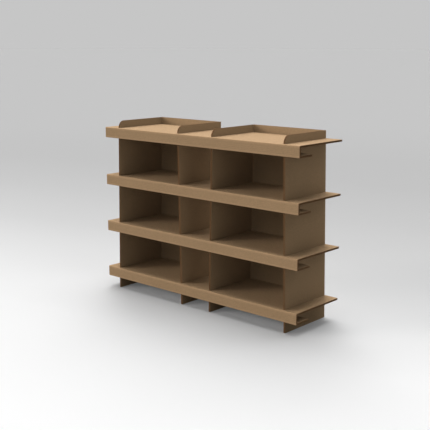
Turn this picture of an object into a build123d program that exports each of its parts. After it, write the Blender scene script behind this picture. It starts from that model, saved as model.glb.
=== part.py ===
from build123d import *
import os

# Free-standing display shelf of double-wall corrugated board, in millimetres.
# Two sheets folded to a U in plan stand side by side as uprights. Four sheets
# folded to a C in section are slotted over both of them as shelves, with no
# glue or fasteners. X is the width, the front faces -Y and +Z is up. The origin
# is the middle of the footprint, on the floor.

# Board
board = 7.0                  # thickness of the double-wall board
fold_radius = 3.0            # outside of a creased fold; its inside is sharp
slot_clearance = 0.6         # width of a slot beyond the board that passes it
lap_gap = 1.0                # left between the blind ends of two lapped slots

# Shelves
shelf_width = 1000.0
shelf_depth = 260.0
fascia_height = 43.0         # from the top surface down to the flange's underside
flange_depth = 76.0          # from the fascia's front face to the flange's free edge
shelf_pitch = 199.0          # from one top surface to the next
bottom_level = 87.0          # top surface of the lowest shelf, above the floor
shelf_names = ("bottom_shelf", "lower_shelf", "upper_shelf", "top_shelf")

# Uprights
unit_spacing = 515.0         # between the centre lines of the two uprights
foot_width = 373.0           # outer width of an upright at the floor
rim_width = 344.0            # outer width at its top edge, so both walls lean in
rim_height = 29.0            # how far it stands above the top shelf
rim_corner_land = 1.0        # straight edge left under the rim's rounded corner
fascia_gap = 3.0             # from the fascia's inside face to an upright's front edge
upright_names = {"upright_left": -unit_spacing / 2, "upright_right": unit_spacing / 2}

# Depth stations: an upright's back panel is flush with the shelves' back edges
front_y = -shelf_depth / 2
back_y = front_y + shelf_depth
back_panel_y = back_y - board
flange_back_y = front_y + flange_depth
upright_front_y = front_y + board + fascia_gap
lap_y = (upright_front_y + back_y) / 2

# Heights
levels = [bottom_level + shelf_pitch * step for step in range(len(shelf_names))]
rim_z = levels[-1] + rim_height
rim_corner_radius = rim_height - slot_clearance - rim_corner_land

# The side walls pass a shelf at a slant, so its slots are wider than the board
lean = (foot_width - rim_width) / 2 / rim_z
wall_slot_width = board * (1 + abs(lean)) + slot_clearance


def half_width(height):
    """Half of an upright's outer width at one height."""
    return foot_width / 2 - lean * height


def rectangle_between(low, high):
    """Rectangle in the current sketch, given by two opposite corners."""
    middle = ((low[0] + high[0]) / 2, (low[1] + high[1]) / 2)
    with Locations(middle):
        Rectangle(high[0] - low[0], high[1] - low[1])


def upright_plan(height):
    """U section of an upright at one height: left wall, back panel, right wall."""
    half = half_width(height)
    with BuildSketch(Plane.XY.offset(height)) as plan:
        with BuildLine():
            outside = Polyline(
                (-half, upright_front_y),
                (-half, back_y),
                (half, back_y),
                (half, upright_front_y),
            )
            offset(outside, amount=board, kind=Kind.INTERSECTION, side=Side.RIGHT)
        make_face()
        fillet(plan.vertices().group_by(Axis.Y)[-1], fold_radius)
    return plan.sketch


def upright_slots():
    """Side view of the two slots that each shelf takes in an upright's side wall."""
    with BuildSketch(Plane.YZ) as slots:
        for level in levels:
            panel_floor = level - board
            flange_floor = level - fascia_height
            rectangle_between(
                (front_y, panel_floor),
                (lap_y + lap_gap / 2, level + slot_clearance),
            )
            rectangle_between(
                (front_y, flange_floor),
                (flange_back_y + lap_gap, flange_floor + board + slot_clearance),
            )
    return slots.sketch


def folded_upright(center_x):
    """One sheet folded to a U, tapering upwards, slotted from its front edges."""
    with BuildPart() as upright:
        loft([upright_plan(0), upright_plan(rim_z)], ruled=True)
        rim_edges = upright.edges().filter_by(Axis.X).group_by(Axis.Z)[-1]
        fillet(rim_edges.group_by(Axis.Y)[0], rim_corner_radius)
        extrude(upright_slots(), amount=foot_width, both=True, mode=Mode.SUBTRACT)
    return Pos(center_x, 0, 0) * upright.part


def shelf_section(level):
    """C section of a shelf: panel, front fascia and the flange folded back under."""
    with BuildSketch(Plane.YZ) as section:
        with BuildLine():
            outside = Polyline(
                (back_y, level),
                (front_y, level),
                (front_y, level - fascia_height),
                (flange_back_y, level - fascia_height),
            )
            offset(outside, amount=board, kind=Kind.INTERSECTION, side=Side.LEFT)
        make_face()
        fillet(section.vertices().group_by(Axis.X)[0], fold_radius)
    return section.sketch


def shelf_slots(level):
    """Plan of what both uprights cut from a panel: back notches and wall slots."""
    middle_height = level - board / 2
    notch = half_width(middle_height) + (wall_slot_width - board) / 2
    with BuildSketch(Plane.XY.offset(level - board)) as slots:
        for center_x in upright_names.values():
            rectangle_between((center_x - notch, back_panel_y), (center_x + notch, back_y))
            for outer_x, inner_x in (
                (center_x - notch, center_x - notch + wall_slot_width),
                (center_x + notch - wall_slot_width, center_x + notch),
            ):
                rectangle_between((outer_x, lap_y - lap_gap / 2), (inner_x, back_y))
    return slots.sketch


def folded_shelf(level):
    """One sheet folded to a C, with its panel slotted from the back edge."""
    with BuildPart() as shelf:
        extrude(shelf_section(level), amount=shelf_width / 2, both=True)
        extrude(shelf_slots(level), amount=board, mode=Mode.SUBTRACT)
    return shelf.part


os.makedirs("parts", exist_ok=True)
for name, center_x in upright_names.items():
    export_step(folded_upright(center_x), f"parts/{name}.step")
for name, level in zip(shelf_names, levels):
    export_step(folded_shelf(level), f"parts/{name}.step")
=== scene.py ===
import math

import bmesh
import bpy
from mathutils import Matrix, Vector


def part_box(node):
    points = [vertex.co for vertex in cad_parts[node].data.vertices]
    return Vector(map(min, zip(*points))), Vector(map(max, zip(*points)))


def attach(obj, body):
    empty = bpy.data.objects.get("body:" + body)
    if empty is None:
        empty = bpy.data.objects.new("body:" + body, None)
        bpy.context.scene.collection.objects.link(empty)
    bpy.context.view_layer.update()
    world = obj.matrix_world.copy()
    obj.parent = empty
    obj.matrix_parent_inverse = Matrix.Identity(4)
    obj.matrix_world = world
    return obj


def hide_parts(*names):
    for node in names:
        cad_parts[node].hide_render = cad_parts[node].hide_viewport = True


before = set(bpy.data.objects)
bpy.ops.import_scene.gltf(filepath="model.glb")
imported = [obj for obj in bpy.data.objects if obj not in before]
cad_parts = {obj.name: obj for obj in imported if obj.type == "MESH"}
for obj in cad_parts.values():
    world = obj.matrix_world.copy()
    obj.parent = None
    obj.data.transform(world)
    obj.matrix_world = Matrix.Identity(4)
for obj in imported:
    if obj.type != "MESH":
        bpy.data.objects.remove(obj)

scene = bpy.context.scene
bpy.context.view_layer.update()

# The two uprights
# Each is one sheet of double-wall corrugated board, creased along two upright
# folds to a U that is open to the front. Its flutes stand vertically and carry
# the load. The front edges are slotted, and the shelves are pushed into them.
board = 0.007
fold_radius = 0.003
slot_clearance = 0.0006
lap_gap = 0.001
flange_depth = 0.076
rim_corner_land = 0.001
rim_corner_steps = 12

# Places nearer to each other than this are taken as one
same_place = 1e-5

# Papers of the board, from the outer face inwards. The waves are a little lower than
# their layer, and they are crushed flat next to a fold.
paper = 0.0004
small_flute = 0.0026
large_flute = board - 3 * paper - small_flute
small_pitch = 0.0065
large_pitch = 0.0079
wave_fill = 0.96
wave_start = 0.25
flute_steps = 8
fold_steps = 5
crease_flat = 0.0012
crease_fade = 0.0055
weld_distance = 1e-6
sharp_angle = math.radians(40)

shelf_names = ("bottom_shelf", "lower_shelf", "upper_shelf", "top_shelf")
upright_names = ("upright_left", "upright_right")
shelf_boxes = [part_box(name) for name in shelf_names]
levels = [high.z for low, high in shelf_boxes]
fascia_height = shelf_boxes[0][1].z - shelf_boxes[0][0].z
front_y = shelf_boxes[0][0].y
back_y = shelf_boxes[0][1].y
shelf_half = shelf_boxes[0][1].x
flange_back_y = front_y + flange_depth

upright_low, upright_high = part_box("upright_right")
upright_x = (upright_low.x + upright_high.x) / 2
upright_front_y = upright_low.y
foot_half = (upright_high.x - upright_low.x) / 2
rim_z = upright_high.z
rim_half = max(
    vertex.co.x
    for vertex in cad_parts["upright_right"].data.vertices
    if vertex.co.z > rim_z - same_place
) - upright_x
lean = (foot_half - rim_half) / rim_z
lap_y = (upright_front_y + back_y) / 2
rim_corner_radius = rim_z - levels[-1] - slot_clearance - rim_corner_land


def add(tree, kind, **settings):
    """Adds one node to a tree and sets its properties."""
    node = tree.nodes.new(kind)
    for name, value in settings.items():
        setattr(node, name, value)
    return node


def wire(tree, *pairs):
    """Links each (output, input) pair of sockets."""
    for output, input_socket in pairs:
        tree.links.new(output, input_socket)


def math_node(tree, operation, *values):
    """A math node that takes sockets or plain numbers; returns its output."""
    node = add(tree, "ShaderNodeMath", operation=operation)
    for socket, value in zip(node.inputs, values):
        if isinstance(value, bpy.types.NodeSocket):
            tree.links.new(value, socket)
        else:
            socket.default_value = value
    return node.outputs[0]


def noise(tree, place, scale, detail, harshness=0.5):
    """A noise texture at the given coordinates; its value varies about noise_middle."""
    node = add(tree, "ShaderNodeTexNoise")
    node.inputs["Scale"].default_value = scale
    node.inputs["Detail"].default_value = detail
    node.inputs["Roughness"].default_value = harshness
    tree.links.new(place, node.inputs["Vector"])
    return node.outputs[0]


# Raw paper: how fine its clouds, mottling and fibres are, in features per metre,
# and how far each of them shifts the tone between the paper's two colours
noise_middle = 0.5
cloud_scale = 14
cloud_detail = 3
cloud_weight = 0.15
mottle_scale = 320
mottle_detail = 6
mottle_harshness = 0.8
mottle_weight = 2.0
# How far the mottling shifts the tone on faces that look straight up; faces that look sideways or
# down keep mottle_weight
upward_mottle_weight = 5.2
mottle_relief = 0.5
fibre_scales = (1500, 1100)
fibre_angles = (0.5, 2.3)
fibre_tilt = 0.7
fibre_slimness = 0.13
fibre_detail = 2
fibre_weight = 0.5
fibre_roughness = 0.08

# Sockets of a colour Mix node, which share their names with its other kinds
mix_first = 6
mix_second = 7
mix_result = 2


def paper_grain():
    """Shader group of raw paper: clouds, mottling, fibres, flute ridges as bump and painted
    shade, and creases worn paler with a painted highlight.

    Faces that look upwards are mottled more, as they are in the photograph.
    """
    group = bpy.data.node_groups.new("Paper grain", "ShaderNodeTree")
    for name, kind in (
        ("Dark", "NodeSocketColor"),
        ("Light", "NodeSocketColor"),
        ("Flute Pitch", "NodeSocketFloat"),
        ("Washboard Shade And Relief", "NodeSocketFloat"),
        ("Crease Wear And Highlight", "NodeSocketFloat"),
        ("Roughness", "NodeSocketFloat"),
    ):
        group.interface.new_socket(name, in_out="INPUT", socket_type=kind)
    for name, kind in (
        ("Color", "NodeSocketColor"),
        ("Roughness", "NodeSocketFloat"),
        ("Height", "NodeSocketFloat"),
    ):
        group.interface.new_socket(name, in_out="OUTPUT", socket_type=kind)
    given = add(group, "NodeGroupInput")
    result = add(group, "NodeGroupOutput")

    place = add(group, "ShaderNodeTexCoord").outputs["Object"]
    clouds = noise(group, place, cloud_scale, cloud_detail)
    mottle = noise(group, place, mottle_scale, mottle_detail, mottle_harshness)
    fibres = 0.0
    for angle, scale in zip(fibre_angles, fibre_scales):
        turned = add(group, "ShaderNodeMapping")
        turned.inputs["Rotation"].default_value = (angle, angle * fibre_tilt, angle)
        turned.inputs["Scale"].default_value = (scale, scale * fibre_slimness, scale)
        wire(group, (place, turned.inputs["Vector"]))
        strands = noise(group, turned.outputs["Vector"], 1, fibre_detail)
        fibres = math_node(group, "ADD", strands, fibres)

    flat = add(group, "ShaderNodeUVMap", uv_map="UVMap")
    along = add(group, "ShaderNodeSeparateXYZ")
    wire(group, (flat.outputs["UV"], along.inputs[0]))
    turns = math_node(group, "DIVIDE", along.outputs["X"], given.outputs["Flute Pitch"])
    wave = math_node(group, "SINE", math_node(group, "MULTIPLY", turns, 2 * math.pi))
    ridge_shade_and_relief = math_node(group, "MULTIPLY", wave, given.outputs["Washboard Shade And Relief"])
    # Creases made lighter along every fold, partly as worn paper and partly as a painted
    # highlight on the fold
    crease = add(group, "ShaderNodeAttribute", attribute_name="openness")
    crushed = math_node(group, "SUBTRACT", 1.0, crease.outputs["Fac"])

    facing = add(group, "ShaderNodeSeparateXYZ")
    wire(group, (add(group, "ShaderNodeNewGeometry").outputs["Normal"], facing.inputs[0]))
    upwards = math_node(group, "MAXIMUM", facing.outputs["Z"], 0.0)
    extra = upward_mottle_weight - mottle_weight
    spread = math_node(group, "MULTIPLY_ADD", upwards, extra, mottle_weight)

    # Where all the noises are at their middle, the tone is midway between the colours
    tone = 0.5 - noise_middle * (cloud_weight + len(fibre_scales) * fibre_weight)
    for source, weight in (
        (clouds, cloud_weight),
        (math_node(group, "SUBTRACT", mottle, noise_middle), spread),
        (fibres, fibre_weight),
        (crushed, given.outputs["Crease Wear And Highlight"]),
    ):
        tone = math_node(group, "MULTIPLY_ADD", source, weight, tone)
    # Painted shade: the wave of the flute ridges also darkens and lightens the colour in stripes,
    # besides giving the bump its ridges
    tone = math_node(group, "ADD", tone, ridge_shade_and_relief)
    colour = add(group, "ShaderNodeMix", data_type="RGBA", clamp_factor=True)
    roughness = math_node(
        group, "MULTIPLY_ADD", fibres, fibre_roughness, given.outputs["Roughness"]
    )
    relief = math_node(group, "MULTIPLY_ADD", mottle, mottle_relief, fibres)
    wire(
        group,
        (tone, colour.inputs["Factor"]),
        (given.outputs["Dark"], colour.inputs[mix_first]),
        (given.outputs["Light"], colour.inputs[mix_second]),
        (colour.outputs[mix_result], result.inputs["Color"]),
        (roughness, result.inputs["Roughness"]),
        (math_node(group, "ADD", relief, ridge_shade_and_relief), result.inputs["Height"]),
    )
    return group


grain = paper_grain()
paper_shine = 0.18
bump_strength = 0.6


def paper_material(name, dark, light, bounce, pitch, washboard_shade_and_relief, crease_wear_and_highlight, roughness, relief):
    """Material of one paper: grain between two tones, and its tone for the light it throws.

    Real paper throws light of its own colour. The liner's is greyer and darker here,
    which was chosen to match the greyish insides of the bays in the photograph.
    """
    material = bpy.data.materials.new(name)
    material.use_nodes = True
    tree = material.node_tree
    shader = tree.nodes["Principled BSDF"]
    shader.inputs["Specular IOR Level"].default_value = paper_shine
    pattern = add(tree, "ShaderNodeGroup", node_tree=grain)
    pattern.inputs["Dark"].default_value = (*dark, 1)
    pattern.inputs["Light"].default_value = (*light, 1)
    pattern.inputs["Flute Pitch"].default_value = pitch
    pattern.inputs["Washboard Shade And Relief"].default_value = washboard_shade_and_relief
    pattern.inputs["Crease Wear And Highlight"].default_value = crease_wear_and_highlight
    pattern.inputs["Roughness"].default_value = roughness
    path = add(tree, "ShaderNodeLightPath")
    thrown = add(tree, "ShaderNodeMix", data_type="RGBA")
    thrown.inputs[mix_second].default_value = (*bounce, 1)
    bump = add(tree, "ShaderNodeBump")
    bump.inputs["Strength"].default_value = bump_strength
    bump.inputs["Distance"].default_value = relief
    wire(
        tree,
        (pattern.outputs["Color"], thrown.inputs[mix_first]),
        (path.outputs["Is Diffuse Ray"], thrown.inputs["Factor"]),
        (thrown.outputs[mix_result], shader.inputs["Base Color"]),
        (pattern.outputs["Roughness"], shader.inputs["Roughness"]),
        (pattern.outputs["Height"], bump.inputs["Height"]),
        (bump.outputs["Normal"], shader.inputs["Normal"]),
    )
    return material


kraft_liner = paper_material(
    "Kraft liner",
    dark=(0.455, 0.299, 0.165),
    light=(0.725, 0.476, 0.266),
    bounce=(0.35, 0.305, 0.265),
    pitch=small_pitch,
    washboard_shade_and_relief=0.05,
    crease_wear_and_highlight=0.3,
    roughness=0.86,
    relief=0.00012,
)
fluting_paper = paper_material(
    "Fluting paper",
    dark=(0.36, 0.185, 0.082),
    light=(0.50, 0.262, 0.12),
    bounce=(0.50, 0.28, 0.14),
    pitch=large_pitch,
    washboard_shade_and_relief=0.0,
    crease_wear_and_highlight=0.0,
    roughness=0.92,
    relief=0.00012,
)
cut_paper = paper_material(
    "Cut paper edge",
    dark=(0.34, 0.185, 0.09),
    light=(0.47, 0.258, 0.128),
    bounce=(0.50, 0.28, 0.14),
    pitch=small_pitch,
    washboard_shade_and_relief=0.0,
    crease_wear_and_highlight=0.0,
    roughness=0.95,
    relief=0.00008,
)


def paper_layer_tree():
    """Geometry Nodes tree that waves an open surface into flutes and thickens it to a paper."""
    tree = bpy.data.node_groups.new("Paper layer", "GeometryNodeTree")
    sockets = tree.interface
    sockets.new_socket("Geometry", in_out="INPUT", socket_type="NodeSocketGeometry")
    for name in ("Flute Height", "Pitch", "Phase", "Paper"):
        sockets.new_socket(name, in_out="INPUT", socket_type="NodeSocketFloat")
    for name in ("Face", "Cut Edge"):
        sockets.new_socket(name, in_out="INPUT", socket_type="NodeSocketMaterial")
    sockets.new_socket("Geometry", in_out="OUTPUT", socket_type="NodeSocketGeometry")
    given = add(tree, "NodeGroupInput")
    result = add(tree, "NodeGroupOutput")

    along = add(tree, "GeometryNodeInputNamedAttribute", data_type="FLOAT")
    along.inputs["Name"].default_value = "along"
    openness = add(tree, "GeometryNodeInputNamedAttribute", data_type="FLOAT")
    openness.inputs["Name"].default_value = "openness"
    shifted = math_node(tree, "ADD", along.outputs["Attribute"], given.outputs["Phase"])
    turns = math_node(tree, "DIVIDE", shifted, given.outputs["Pitch"])
    wave = math_node(tree, "SINE", math_node(tree, "MULTIPLY", turns, 2 * math.pi))
    reach = math_node(tree, "MULTIPLY", given.outputs["Flute Height"], 0.5)
    crest = math_node(tree, "MULTIPLY", wave, reach)
    lift = math_node(tree, "MULTIPLY", crest, openness.outputs["Attribute"])
    outward = add(tree, "GeometryNodeInputNamedAttribute", data_type="FLOAT_VECTOR")
    outward.inputs["Name"].default_value = "outward"
    offset = add(tree, "ShaderNodeVectorMath", operation="SCALE")
    waved = add(tree, "GeometryNodeSetPosition")
    thick = add(tree, "GeometryNodeExtrudeMesh", mode="FACES")
    thick.inputs["Individual"].default_value = False
    inward = math_node(tree, "MULTIPLY", given.outputs["Paper"], -1)
    inner = add(tree, "GeometryNodeFlipFaces")
    both = add(tree, "GeometryNodeJoinGeometry")
    closed = add(tree, "GeometryNodeMergeByDistance")
    closed.inputs["Distance"].default_value = weld_distance
    real = add(tree, "GeometryNodeRealizeInstances")
    faced = add(tree, "GeometryNodeSetMaterial")
    edged = add(tree, "GeometryNodeSetMaterial")
    wire(
        tree,
        (outward.outputs["Attribute"], offset.inputs[0]),
        (lift, offset.inputs["Scale"]),
        (given.outputs["Geometry"], waved.inputs["Geometry"]),
        (offset.outputs[0], waved.inputs["Offset"]),
        (waved.outputs["Geometry"], thick.inputs["Mesh"]),
        (outward.outputs["Attribute"], thick.inputs["Offset"]),
        (inward, thick.inputs["Offset Scale"]),
        (thick.outputs["Mesh"], inner.inputs["Mesh"]),
        (waved.outputs["Geometry"], both.inputs[0]),
        (inner.outputs["Mesh"], both.inputs[0]),
        (both.outputs["Geometry"], closed.inputs["Geometry"]),
        (closed.outputs["Geometry"], real.inputs["Geometry"]),
        (real.outputs["Geometry"], faced.inputs["Geometry"]),
        (given.outputs["Face"], faced.inputs["Material"]),
        (faced.outputs["Geometry"], edged.inputs["Geometry"]),
        (thick.outputs["Side"], edged.inputs["Selection"]),
        (given.outputs["Cut Edge"], edged.inputs["Material"]),
        (edged.outputs["Geometry"], result.inputs[0]),
    )
    return tree


paper_layer = paper_layer_tree()


def stations_along(corners, axis, depth, spacing, cuts):
    """Places along a folded sheet, at one depth under its outer face.

    corners run along the outer face, across the flutes, and axis points along the
    flutes. cuts are y values at which the sheet is cut. Each place is (length
    along, point, outward direction, openness), and the openness of the flutes
    falls to 0 at a fold, where they are crushed.
    """
    places = []
    travelled = 0.0
    tangents = [(b - a).normalized() for a, b in zip(corners, corners[1:])]
    inwards = [axis.cross(tangent) for tangent in tangents]
    radius = max(fold_radius, depth + paper) - depth
    last = len(tangents) - 1
    for index, (tangent, inward) in enumerate(zip(tangents, inwards)):
        start = corners[index] + inward * depth
        end = corners[index + 1] + inward * depth
        if index > 0:
            start += tangent * (depth + radius)
        if index < last:
            end -= tangent * (depth + radius)
        length = (end - start).length
        marks = {0.0, length}
        for near in (crease_flat, crease_flat + crease_fade):
            if index > 0:
                marks.add(near)
            if index < last:
                marks.add(length - near)
        if round(tangent.y):
            marks.update((cut - start.y) / tangent.y for cut in cuts)
        if spacing:
            first = math.ceil(travelled / spacing)
            final = math.floor((travelled + length) / spacing)
            marks.update(step * spacing - travelled for step in range(first, final + 1))
        previous = -same_place
        for mark in sorted(marks):
            if mark < 0 or mark > length or mark - previous < same_place:
                continue
            previous = mark
            to_fold = min(
                mark if index > 0 else length,
                length - mark if index < last else length,
            )
            faded = min(max((to_fold - crease_flat) / crease_fade, 0.0), 1.0)
            openness = faded * faded * (3 - 2 * faded)
            places.append((travelled + mark, start + tangent * mark, -inward, openness))
        travelled += length
        if index < last:
            centre = end + inward * radius
            for step in range(1, fold_steps):
                angle = math.pi / 2 * step / fold_steps
                spoke = tangent * math.sin(angle) - inward * math.cos(angle)
                places.append((travelled + radius * angle, centre + spoke * radius, spoke, 0.0))
            travelled += radius * math.pi / 2
    return places


def paper_surface(places, rows, put, is_cut):
    """Open mesh of one paper: places across the flutes by rows along them, less the cuts."""
    corner_of = {}
    points = []
    faces = []
    numbers = []
    outwards = []

    def corner(i, j):
        if (i, j) not in corner_of:
            corner_of[i, j] = len(points)
            along, point, outward, openness = places[i]
            points.append(put(point, rows[j]))
            numbers.append((along, openness, rows[j]))
            outwards.extend(outward)
        return corner_of[i, j]

    for i in range(len(places) - 1):
        middle = (places[i][1] + places[i + 1][1]) / 2
        for j in range(len(rows) - 1):
            if not is_cut(middle, (rows[j] + rows[j + 1]) / 2):
                square = ((i, j), (i + 1, j), (i + 1, j + 1), (i, j + 1))
                faces.append([corner(*spot) for spot in square])
    mesh = bpy.data.meshes.new("Paper")
    mesh.from_pydata(points, [], faces)
    for name, column in (("along", 0), ("openness", 1)):
        attribute = mesh.attributes.new(name, "FLOAT", "POINT")
        attribute.data.foreach_set("value", [number[column] for number in numbers])
    attribute = mesh.attributes.new("outward", "FLOAT_VECTOR", "POINT")
    attribute.data.foreach_set("vector", outwards)
    flat = mesh.uv_layers.new(name="UVMap")
    for loop in mesh.loops:
        along, openness, row = numbers[loop.vertex_index]
        flat.data[loop.index].uv = (along, row)
    return mesh


def thickened(surface, flute_height, pitch, face, edge):
    """Closed mesh of one paper, made from its open surface by the paper layer tree."""
    blank = bpy.data.objects.new("Paper", surface)
    scene.collection.objects.link(blank)
    modifier = blank.modifiers.new("Paper layer", "NODES")
    modifier.node_group = paper_layer
    keys = {
        item.name: item.identifier
        for item in paper_layer.interface.items_tree
        if item.in_out == "INPUT"
    }
    modifier[keys["Flute Height"]] = flute_height
    modifier[keys["Pitch"]] = pitch
    modifier[keys["Phase"]] = pitch * wave_start
    modifier[keys["Paper"]] = paper
    modifier[keys["Face"]] = face
    modifier[keys["Cut Edge"]] = edge
    blank.update_tag()
    depsgraph = bpy.context.evaluated_depsgraph_get()
    mesh = bpy.data.meshes.new_from_object(blank.evaluated_get(depsgraph))
    bpy.data.objects.remove(blank)
    bpy.data.meshes.remove(surface)
    return mesh


def joined(meshes):
    """One mesh of several that share the same material slots."""
    shell = bmesh.new()
    for mesh in meshes:
        shell.from_mesh(mesh)
    whole = bpy.data.meshes.new("Board")
    for material in meshes[0].materials:
        whole.materials.append(material)
    shell.to_mesh(whole)
    shell.free()
    return whole


def board_papers(corners, axis, rows, cuts, put, is_cut):
    """Meshes of a folded sheet's three liners and of its two flutings."""
    liners = []
    for depth in (0.0, paper + small_flute, board - paper):
        places = stations_along(corners, axis, depth, None, cuts)
        surface = paper_surface(places, rows, put, is_cut)
        liners.append(thickened(surface, 0.0, small_pitch, kraft_liner, cut_paper))
    flutings = []
    for top, height, pitch in (
        (paper, small_flute, small_pitch),
        (2 * paper + small_flute, large_flute, large_pitch),
    ):
        swing = height - paper
        places = stations_along(corners, axis, top + swing / 2, pitch / flute_steps, cuts)
        surface = paper_surface(places, rows, put, is_cut)
        flutings.append(thickened(surface, swing * wave_fill, pitch, fluting_paper, cut_paper))
    return joined(liners), joined(flutings)


def show_board(name, liners, flutings, shift):
    """Places a sheet's papers and lets them stand for its CAD node."""
    for suffix, source in (("liners", liners), ("fluting", flutings)):
        mesh = source.copy()
        for vertex in mesh.vertices:
            vertex.co += shift
        mesh.shade_smooth()
        mesh.set_sharp_from_angle(angle=sharp_angle)
        piece = bpy.data.objects.new(f"{name}_{suffix}", mesh)
        scene.collection.objects.link(piece)
        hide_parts(name)
        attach(piece, "root")


def rim_height_at(y):
    """Height of an upright's top edge, which is rounded down to the front."""
    short = upright_front_y + rim_corner_radius - y
    if short <= 0:
        return rim_z
    return rim_z - rim_corner_radius + math.sqrt(max(rim_corner_radius**2 - short**2, 0.0))


def on_upright(point, z):
    """A plan point of an upright at one height, leaning inwards as it rises."""
    z = min(z, rim_height_at(point.y))
    share = min(max(point.x / (foot_half - fold_radius), -1.0), 1.0)
    return (point.x - lean * z * share, point.y, z)


def cut_from_upright(point, z):
    """True inside one of the slots that take the shelves."""
    for level in levels:
        flange = level - fascia_height
        if level - board < z < level + slot_clearance and point.y < lap_y + lap_gap / 2:
            return True
        if flange < z < flange + board + slot_clearance and point.y < flange_back_y + lap_gap:
            return True
    return False


upright_corners = [
    Vector((foot_half, upright_front_y, 0)),
    Vector((foot_half, back_y, 0)),
    Vector((-foot_half, back_y, 0)),
    Vector((-foot_half, upright_front_y, 0)),
]
upright_rows = [0.0, rim_z]
for level in levels:
    flange = level - fascia_height
    upright_rows += [flange, flange + board + slot_clearance]
    upright_rows += [level - board, level + slot_clearance]
upright_cuts = [lap_y + lap_gap / 2, flange_back_y + lap_gap]
for step in range(1, rim_corner_steps + 1):
    angle = math.pi / 2 * step / rim_corner_steps
    upright_cuts.append(upright_front_y + rim_corner_radius * (1 - math.cos(angle)))
upright_papers = board_papers(
    upright_corners,
    Vector((0, 0, 1)),
    sorted(upright_rows),
    upright_cuts,
    on_upright,
    cut_from_upright,
)
for name, side in zip(upright_names, (-1, 1)):
    show_board(name, *upright_papers, Vector((side * upright_x, 0, 0)))

# The four shelves
# Each is one sheet folded to a C in section: the panel on top, the front fascia
# and a narrow flange turned back under it. Its flutes run from end to end, so
# they show as open waves there, and slots in its back edge pass the uprights.
wall_slot = board * (1 + lean) + slot_clearance


def notch_half(level):
    """Half of the width that an upright takes out of a shelf's back edge."""
    return foot_half - lean * (level - board / 2) + (wall_slot - board) / 2


def wall_slots(level):
    """The stretches of a shelf's width where its slots for the side walls are."""
    reach = notch_half(level)
    slots = []
    for centre in (-upright_x, upright_x):
        slots.append((centre - reach, centre - reach + wall_slot))
        slots.append((centre + reach - wall_slot, centre + reach))
    return slots


def on_shelf(point, x):
    """A point of a shelf's section, at one place along its width."""
    return (x, point.y, point.z)


def cut_from_shelf(level):
    """Makes the test for one shelf's slots, and for its notches for the back panels."""
    reach = notch_half(level)
    slots = wall_slots(level)

    def is_cut(point, x):
        if point.y > lap_y - lap_gap / 2 and any(low < x < high for low, high in slots):
            return True
        return point.y > back_y - board and abs(abs(x) - upright_x) < reach

    return is_cut


shelf_cuts = [lap_y - lap_gap / 2, back_y - board]
for name, level in zip(shelf_names, levels):
    flange = level - fascia_height
    shelf_corners = [
        Vector((0, back_y, level)),
        Vector((0, front_y, level)),
        Vector((0, front_y, flange)),
        Vector((0, flange_back_y, flange)),
    ]
    shelf_rows = [-shelf_half, shelf_half]
    for slot in wall_slots(level):
        shelf_rows += slot
    shelf_papers = board_papers(
        shelf_corners,
        Vector((1, 0, 0)),
        sorted(shelf_rows),
        shelf_cuts,
        on_shelf,
        cut_from_shelf(level),
    )
    show_board(name, *shelf_papers, Vector((0, 0, 0)))

# The light
# Wide, distant softboxes: one straight overhead, four high and low behind the back
# and its left corner, a strong low one at the front left, and weak ones that fill in.
neutral = (1.0, 1.0, 1.0)
warm = (1.0, 0.97, 0.95)
cool = (0.88, 0.96, 1.0)
lamps = (
    ("Overhead", 0, 88, 0.49, neutral),
    ("Back_high", 180, 65, 0.29, neutral),
    ("Back_left_high", 240, 65, 0.465, neutral),
    ("Back_left", 225, 40, 0.51, neutral),
    ("Back_low", 200, 20, 0.245, neutral),
    ("Back_right", 150, 40, 0.10, neutral),
    ("Front_left_low", 315, 15, 0.775, warm),
    ("Front", 350, 28, 0.11, warm),
    ("Front_right_low", 20, 18, 0.06, cool),
    ("Right_low", 75, 18, 0.08, cool),
    ("Right_high", 90, 50, 0.095, neutral),
)
backdrop_grey = 0.565
lamp_spread = math.radians(28)

# A lamp of strength 1 that shines straight on a surface shows it at half its colour
lamp_power = math.pi / 2
for name, azimuth, elevation, strength, colour in lamps:
    turn = math.radians(azimuth)
    rise = math.radians(elevation)
    across = math.cos(rise)
    towards = Vector((math.sin(turn) * across, -math.cos(turn) * across, math.sin(rise)))
    lamp = bpy.data.lights.new(name, "SUN")
    lamp.angle = lamp_spread
    lamp.energy = strength * lamp_power
    lamp.color = colour
    holder = bpy.data.objects.new(name, lamp)
    holder.rotation_euler = towards.to_track_quat("Z", "Y").to_euler()
    scene.collection.objects.link(holder)


def sight_mask(tree):
    """1 for rays that show the studio as a picture: to the camera, off gloss or through glass."""
    path = add(tree, "ShaderNodeLightPath")
    onwards = math_node(
        tree, "MAXIMUM", path.outputs["Is Glossy Ray"], path.outputs["Is Transmission Ray"]
    )
    return math_node(tree, "MAXIMUM", path.outputs["Is Camera Ray"], onwards)


world = bpy.data.worlds.new("Studio")
world.use_nodes = True
tree = world.node_tree
backdrop = tree.nodes["Background"]
backdrop.inputs["Color"].default_value = (backdrop_grey, backdrop_grey, backdrop_grey, 1)
dark = add(tree, "ShaderNodeBackground")
dark.inputs["Color"].default_value = (0, 0, 0, 1)
choice = add(tree, "ShaderNodeMixShader")
wire(
    tree,
    (sight_mask(tree), choice.inputs[0]),
    (dark.outputs[0], choice.inputs[1]),
    (backdrop.outputs[0], choice.inputs[2]),
    (choice.outputs[0], tree.nodes["World Output"].inputs["Surface"]),
)
scene.world = world

# The floor
# A plain studio floor without a visible edge. Its colour holds a painted pool of light: white in
# front of the shelf, fading behind it to the grey of the backdrop, which the world shows above
# it.

# What all lamps together put on the open floor, in red, green and blue
floor_light = [
    sum(
        strength * lamp_power / math.pi * math.sin(math.radians(elevation)) * colour[channel]
        for name, azimuth, elevation, strength, colour in lamps
    )
    for channel in range(3)
]
floor_reach = 150.0

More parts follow.
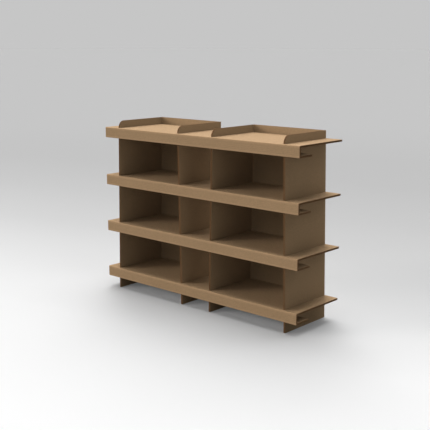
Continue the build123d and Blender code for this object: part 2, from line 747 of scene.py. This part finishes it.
# Chosen to match the photograph, not as a real floor acts: it throws less light on
# the shelf than its white would, and it glows a little, which lightens its shadow
floor_bounce = 0.22
shadow_fill = 0.09

# Tones of that painted pool of light at some distances behind the middle of the shelf,
# measured slightly askew, and how far out, all round, that gives way to the backdrop's grey
fade_side = -0.2
fade_start = 1.5
fade_softness = 3.0
floor_tones = (
    (-1.24, 1.03),
    (-0.43, 0.955),
    (0.5, 0.765),
    (0.92, 0.686),
    (1.85, 0.604),
    (3.1, 0.552),
    (4.5, 0.54),
    (18.0, backdrop_grey),
)
far_start = 3.0
far_end = 8.0


def floor_colour(tone):
    """Colour at which the lamps show an open stretch of the floor in one grey tone."""
    return (*(tone / light for light in floor_light), 1)


floor_mesh = bpy.data.meshes.new("Floor")
floor_corners = [
    (-floor_reach, -floor_reach, 0),
    (floor_reach, -floor_reach, 0),
    (floor_reach, floor_reach, 0),
    (-floor_reach, floor_reach, 0),
]
floor_mesh.from_pydata(floor_corners, [], [(0, 1, 2, 3)])
floor = bpy.data.objects.new("Floor", floor_mesh)
scene.collection.objects.link(floor)
floor_material = bpy.data.materials.new("Studio floor")
floor_material.use_nodes = True
tree = floor_material.node_tree
tree.nodes.clear()
place = add(tree, "ShaderNodeTexCoord")
axes = add(tree, "ShaderNodeSeparateXYZ")
wire(tree, (place.outputs["Object"], axes.inputs[0]))
sideways = math_node(tree, "MULTIPLY", axes.outputs["X"], fade_side)
behind = math_node(tree, "ADD", axes.outputs["Y"], sideways)
behind = math_node(tree, "MAXIMUM", math_node(tree, "ADD", behind, fade_start), 0.0)
share = math_node(tree, "DIVIDE", behind, math_node(tree, "ADD", behind, fade_softness))
tones = add(tree, "ShaderNodeValToRGB")
stops = tones.color_ramp.elements
first_stops = len(stops)
for index, (distance, tone) in enumerate(floor_tones):
    reach = distance + fade_start
    place_on_ramp = reach / (reach + fade_softness)
    stop = stops[index] if index < first_stops else stops.new(place_on_ramp)
    stop.position = place_on_ramp
    stop.color = floor_colour(tone)
away = add(tree, "ShaderNodeVectorMath", operation="LENGTH")
far = add(tree, "ShaderNodeMapRange", interpolation_type="SMOOTHSTEP")
far.inputs["From Min"].default_value = far_start
far.inputs["From Max"].default_value = far_end
faded = add(tree, "ShaderNodeMix", data_type="RGBA")
faded.inputs[mix_second].default_value = floor_colour(backdrop_grey)
surface = add(tree, "ShaderNodeOutputMaterial")
choice = add(tree, "ShaderNodeMixShader")
bounce = add(tree, "ShaderNodeBsdfDiffuse")
bounce.inputs["Color"].default_value = (floor_bounce, floor_bounce, floor_bounce, 1)
lit = add(tree, "ShaderNodeBsdfDiffuse")
glow = add(tree, "ShaderNodeEmission")
shown = add(tree, "ShaderNodeMixShader")
shown.inputs[0].default_value = shadow_fill
wire(
    tree,
    (share, tones.inputs[0]),
    (place.outputs["Object"], away.inputs[0]),
    (away.outputs["Value"], far.inputs["Value"]),
    (far.outputs[0], faded.inputs["Factor"]),
    (tones.outputs["Color"], faded.inputs[mix_first]),
    (faded.outputs[mix_result], lit.inputs["Color"]),
    (faded.outputs[mix_result], glow.inputs["Color"]),
    (lit.outputs[0], shown.inputs[1]),
    (glow.outputs[0], shown.inputs[2]),
    (sight_mask(tree), choice.inputs[0]),
    (bounce.outputs[0], choice.inputs[1]),
    (shown.outputs[0], choice.inputs[2]),
    (choice.outputs[0], surface.inputs["Surface"]),
)
floor_mesh.materials.append(floor_material)

# The camera
# It was fitted to the photograph. It stands in front of the right end, about 0.3 m
# above the top shelf, and looks slightly down through a moderately long lens.
camera_place = (2.183, -2.4345, 1.0233)
camera_turn = math.radians(41.922)
camera_tilt = math.radians(11.515)
sensor_width_mm = 36
lens_mm = 70.31
sight_reach = 400
camera = bpy.data.cameras.new("Camera")
camera.sensor_width = sensor_width_mm
camera.lens = lens_mm
camera.clip_end = sight_reach
camera_holder = bpy.data.objects.new("Camera", camera)
camera_holder.location = camera_place
camera_holder.rotation_euler = (math.pi / 2 - camera_tilt, 0, camera_turn)
scene.collection.objects.link(camera_holder)
scene.camera = camera_holder
scene.view_settings.view_transform = "Standard"
